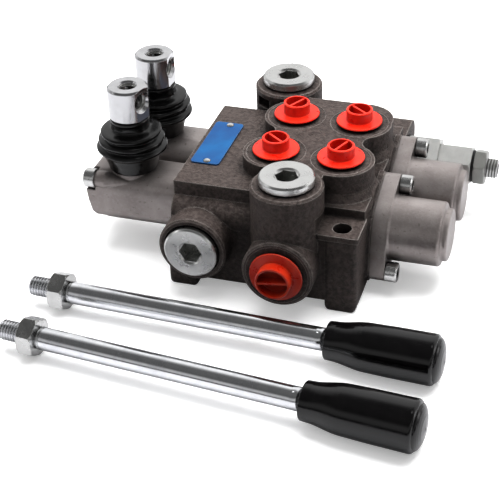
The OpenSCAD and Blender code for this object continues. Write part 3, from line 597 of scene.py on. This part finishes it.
def boot(i):
    low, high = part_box(f"boot_{i}")
    middle = (low + high) / 2
    datum = low.z * 1000 - BOOT_DROP
    phase = 1.7 * i  # makes the two boots differ

    def uneven(r, z, angle):
        """Slightly wavy folds, true at the foot and the neck."""
        wave = (0.22 * math.sin(2 * angle + phase + z * 0.25)
                + 0.12 * math.sin(3 * angle - 0.6 * z + 2 * phase)
                + 0.08 * math.sin(7 * angle + z * 0.9))
        return r + fade_ends(z, start=21, end=43, run_in=6, run_out=4) * wave

    verts, faces = lathe(spline(BOOT_OUTSIDE, steps=5) + BOOT_INSIDE, 96, uneven)
    verts = [(x + middle.x, y + middle.y, z + datum * MM) for x, y, z in verts]
    skin = new_piece(f"boot_skin_{i}", verts, faces, BOOT)
    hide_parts(f"boot_{i}")
    start, end = ((middle.x, middle.y, (datum + height) * MM) for height in BOOT_BEND)
    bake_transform(skin)
    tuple(start)
    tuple(end)


# ------------------------------------------------------------------ rods of the loose levers
# Millimetres from the threaded tip.
ROD_LENGTH = 175.0
ROD_RADIUS = 5.5
ROD_THREAD_RADIUS = 4.95
ROD_THREAD = (0.4, 20.9)  # start and end of the thread
ROD_THREAD_DEPTH = 0.72
ROD_PLAIN = (12.6, 20.2)  # smooth stretch within the thread
ROD_PLAIN_RADIUS = 4.6
ROD_SHOULDER = 21.6  # full radius from here
ROD_STEP = 153.0  # narrower beyond this
ROD_END_RADIUS = 5.0
TIP_BEFORE_MOUNT = 6.7


def rod_radius(r, z, angle):
    if ROD_PLAIN[0] < z < ROD_PLAIN[1]:
        return min(r, ROD_PLAIN_RADIUS)
    if 0.7 < z < ROD_THREAD[1]:
        # Trimming the wave flattens its crests and roots.
        height = clamp((thread_wave(z, angle) - 0.12) / 0.76)
        return r - ROD_THREAD_DEPTH * (1 - height) * fade_ends(z, *ROD_THREAD, 0.7, 0.7)
    return r


def rod(i):
    thread_mount = mount(f"lever_{i}_thread")
    direction = -Vector(thread_mount["axis"]).normalized()
    tip = Vector(thread_mount["pos_m"]) - direction * TIP_BEFORE_MOUNT * MM

    rows = [(0, 0), (3.6, 0), (4.15, 0.15), (4.5, 0.5)]
    z = 0.8
    while z < 20.8:
        rows.append((4.2 + z * 0.7 if z < 1.0 else ROD_THREAD_RADIUS, z))
        z += 0.125
    rows += [(ROD_THREAD_RADIUS, 20.9), (4.98, 21.0), (5.45, 21.3), (ROD_RADIUS, ROD_SHOULDER)]
    shank = ROD_STEP - 0.1 - ROD_SHOULDER
    rows += [(ROD_RADIUS, ROD_SHOULDER + shank * k / 24) for k in range(1, 25)]
    rows += [(ROD_END_RADIUS, z) for z in (ROD_STEP - 0.02, 164.0, ROD_LENGTH)]
    rows.append((0, ROD_LENGTH))

    verts, faces = lathe(rows, 72, rod_radius)
    bar = new_piece(f"lever_bar_{i}", aim(verts, tip, direction), faces, ROD)
    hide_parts(f"lever_rod_{i}")
    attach(bar, f"hand_lever_{i}")


# ------------------------------------------------------------------ threads in the socket holes
HOLE_RADIUS = 4.22  # mm
HOLE_THREAD_DEPTH = 0.5  # mm
SIDE_CLEARANCE = 0.0045  # m left plain above and below the side hole's axis
END_MARGIN = 0.2  # mm left plain at both ends of the top hole


def hole_thread(kind, i, base, direction, length, material):
    """Ring of thread crests in a plain hole, from base along direction for length mm."""
    steps = int(length / 0.15)
    rows = [(HOLE_RADIUS, length * k / steps) for k in range(steps + 1)]
    back_radius = HOLE_RADIUS + 0.02
    rows += [(back_radius, length), (back_radius, 0.0)]

    def crests(r, z, angle):
        if r == back_radius:
            return r
        fade = fade_ends(z, 0.0, length, run_in=0.5, run_out=0.5)
        return r - HOLE_THREAD_DEPTH * thread_wave(z, angle) * fade - 0.02

    verts, faces = lathe(rows, 48, crests)
    verts = aim(verts, Vector(base), Vector(direction).normalized())
    ring = new_piece(f"{kind}_thread_{i}", verts, faces, material)
    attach(ring, f"lever_{i}")


def socket_threads(i):
    material = steel(f"thread_steel_{i}", base=(0.62, 0.62, 0.60), rough=0.22, dark=0.7)
    side_z = mount(f"socket_{i}_side")["pos_m"][2]
    for entry in MOUNTS:
        place = Vector(entry["pos_m"])
        if entry["name"] == f"socket_{i}_top":
            half = entry["dims"]["length_mm"] / 2000
            above = side_z + SIDE_CLEARANCE
            foot = place.z - half + END_MARGIN * MM
            hole_thread("top", i, (place.x, place.y, above), (0, 0, 1),
                        (place.z + half - above) * 1000 - END_MARGIN, material)
            hole_thread("low", i, (place.x, place.y, foot), (0, 0, 1),
                        (side_z - SIDE_CLEARANCE - foot) * 1000, material)
        if entry["name"] == f"socket_{i}_side":
            direction = Vector(entry["axis"]).normalized()
            start = place + direction * 0.55 * MM
            hole_thread("side", i, start, direction, 3.3, material)


for i in (1, 2):
    boot(i)
    rod(i)
    socket_threads(i)


# ------------------------------------------------------------------ floor
def floor_paint():
    """Pale to the camera, grey to bounced light, and dark far out in reflections."""
    mat = Surface("floor_paint")
    pale = mat.mix(mat.noise(size_mm=60, detail=2, roughness=0.5),
                   under=(0.90, 0.90, 0.90), over=(0.92, 0.92, 0.92))
    across, other, _ = mat.offsets((0, 0, 0), "Z")
    distance = mat.math("DIVIDE", mat.radius_mm(across, other), 1000.0)
    ray = mat.node("ShaderNodeLightPath").outputs
    bounce = mat.mix(ray["Is Diffuse Ray"], under=pale, over=(0.22, 0.22, 0.22))
    mirrored = mat.mottle(distance, span=(0.28, 0.60),
                          low=(0.62, 0.62, 0.635), high=(0.16, 0.16, 0.17))
    return mat.finish(mat.mix(ray["Is Glossy Ray"], bounce, mirrored), roughness=0.6,
                      Specular_IOR_Level=0.2, Emission_Color=(1, 1, 1, 1),
                      Emission_Strength=mat.times(ray["Is Camera Ray"], 0.30))


bpy.ops.mesh.primitive_plane_add(size=8, location=(0, 0, -0.0004))
floor = bpy.context.object
floor.name = "floor"
floor.data.materials.append(floor_paint())


# ------------------------------------------------------------------ world
# Grey by the upward part of the view direction: (z, grey).
DIFFUSE_SKY = [(0.0, 0.08), (0.30, 0.20), (0.62, 0.75), (1.0, 1.0)]
MIRROR_SKY = [(0.0, 0.03), (0.08, 0.08), (0.18, 0.40), (0.40, 0.46), (0.60, 0.09), (1.0, 0.12)]
MIRROR_WALL = [(0.0, 0.80), (0.10, 0.75), (0.18, 0.42), (0.42, 0.40), (0.60, 0.88),
               (0.82, 0.78), (0.94, 0.10), (1.0, 0.0)]
# Round glows seen in reflections: direction, full within and none beyond (degrees), strength.
GLOWS = [((0.02, 0.10, 1.0), 3, 6, 2.2), ((-0.9, -0.25, 0.5), 5, 11, 1.3),
         ((0.93, 0.30, 0.27), 6, 15, 2.0), ((0.85, -0.55, 0.45), 4, 8, 1.0)]


def studio_world():
    """One sky for diffuse light, one for reflections and a flat pale one for the camera."""
    world = bpy.data.worlds.new("studio")
    scene.world = world
    sky = Nodes(world)
    view = sky.node("ShaderNodeTexCoord").outputs["Generated"]
    split = sky.node("ShaderNodeSeparateXYZ")
    sky.put(split.inputs[0], view)
    _, y, z = split.outputs
    ray = sky.node("ShaderNodeLightPath").outputs

    def background(grey_level, colour=(1, 1, 1, 1)):
        node = sky.node("ShaderNodeBackground")
        node.inputs[0].default_value = colour
        sky.put(node.inputs[1], grey_level)
        return node.outputs[0]

    def choose(factor, first, second):
        node = sky.node("ShaderNodeMixShader")
        for socket, value in zip(node.inputs, (factor, first, second)):
            sky.put(socket, value)
        return node.outputs[0]

    diffuse = sky.times(sky.ramp(z, DIFFUSE_SKY), 0.62)
    back = sky.fade(sky.add(sky.times(y, 0.5), 0.5), span=(0.52, 0.78))  # the +Y side
    mirror = sky.add(sky.ramp(z, MIRROR_SKY), sky.times(back, sky.ramp(z, MIRROR_WALL)))
    for direction, inner, outer, strength in GLOWS:
        nearness = sky.vector_math("DOT_PRODUCT", view, Vector(direction).normalized())
        span = (math.cos(math.radians(outer)), math.cos(math.radians(inner)))
        mirror = sky.add(mirror, sky.times(sky.fade(nearness, span), strength))
    lighting = choose(ray["Is Glossy Ray"], background(diffuse), background(mirror))
    seen = background(1.0, colour=(0.93, 0.93, 0.935, 1))
    output = sky.node("ShaderNodeOutputWorld")
    sky.put(output.inputs[0], choose(ray["Is Camera Ray"], lighting, seen))


studio_world()


# ------------------------------------------------------------------ lights
def area(name, place, target, width, height, power):
    """Soft light that does not show in reflections."""
    data = bpy.data.lights.new(name, "AREA")
    data.shape = "RECTANGLE"
    data.size, data.size_y = width, height
    data.energy = power
    light = bpy.data.objects.new(name, data)
    scene.collection.objects.link(light)
    light.location = place
    light.rotation_euler = (Vector(target) - Vector(place)).to_track_quat("-Z", "Y").to_euler()
    light.visible_glossy = False


area("top_softbox", (0.05, 0.25, 1.10), target=(0, 0, 0), width=1.1, height=0.9, power=21)
area("left_strip", (-0.9, -0.25, 0.55), target=(0, 0, 0.03), width=0.25, height=0.9, power=1.6)
area("back_right", (0.8, 0.7, 0.7), target=(0, 0, 0.03), width=0.6, height=0.6, power=2.5)

# ------------------------------------------------------------------ camera
CAMERA_PLACE = (0.17109, -0.57443, 0.39520)
AZIMUTH = math.radians(18.713)  # swing from straight along +Y towards -X
TILT = math.radians(33.897)  # downwards
ROLL = math.radians(-2.314)

camera_data = bpy.data.cameras.new("camera")
camera = bpy.data.objects.new("camera", camera_data)
scene.collection.objects.link(camera)
forward = Vector((-math.sin(AZIMUTH) * math.cos(TILT), math.cos(AZIMUTH) * math.cos(TILT),
                  -math.sin(TILT)))
right = Vector((math.cos(AZIMUTH), math.sin(AZIMUTH), 0))
up = right.cross(forward)
rolled_right = math.cos(ROLL) * right + math.sin(ROLL) * up
rolled_up = -math.sin(ROLL) * right + math.cos(ROLL) * up
pose = Matrix((rolled_right, rolled_up, -forward)).transposed().to_4x4()
pose.translation = Vector(CAMERA_PLACE)
camera.matrix_world = pose
camera_data.sensor_width = 36
camera_data.lens = 97.79
camera_data.clip_start = 0.01
scene.camera = camera
scene.view_settings.view_transform = "Standard"
scene.view_settings.look = "None"
scene.view_settings.exposure = 0.22
scene.view_settings.gamma = 0.90
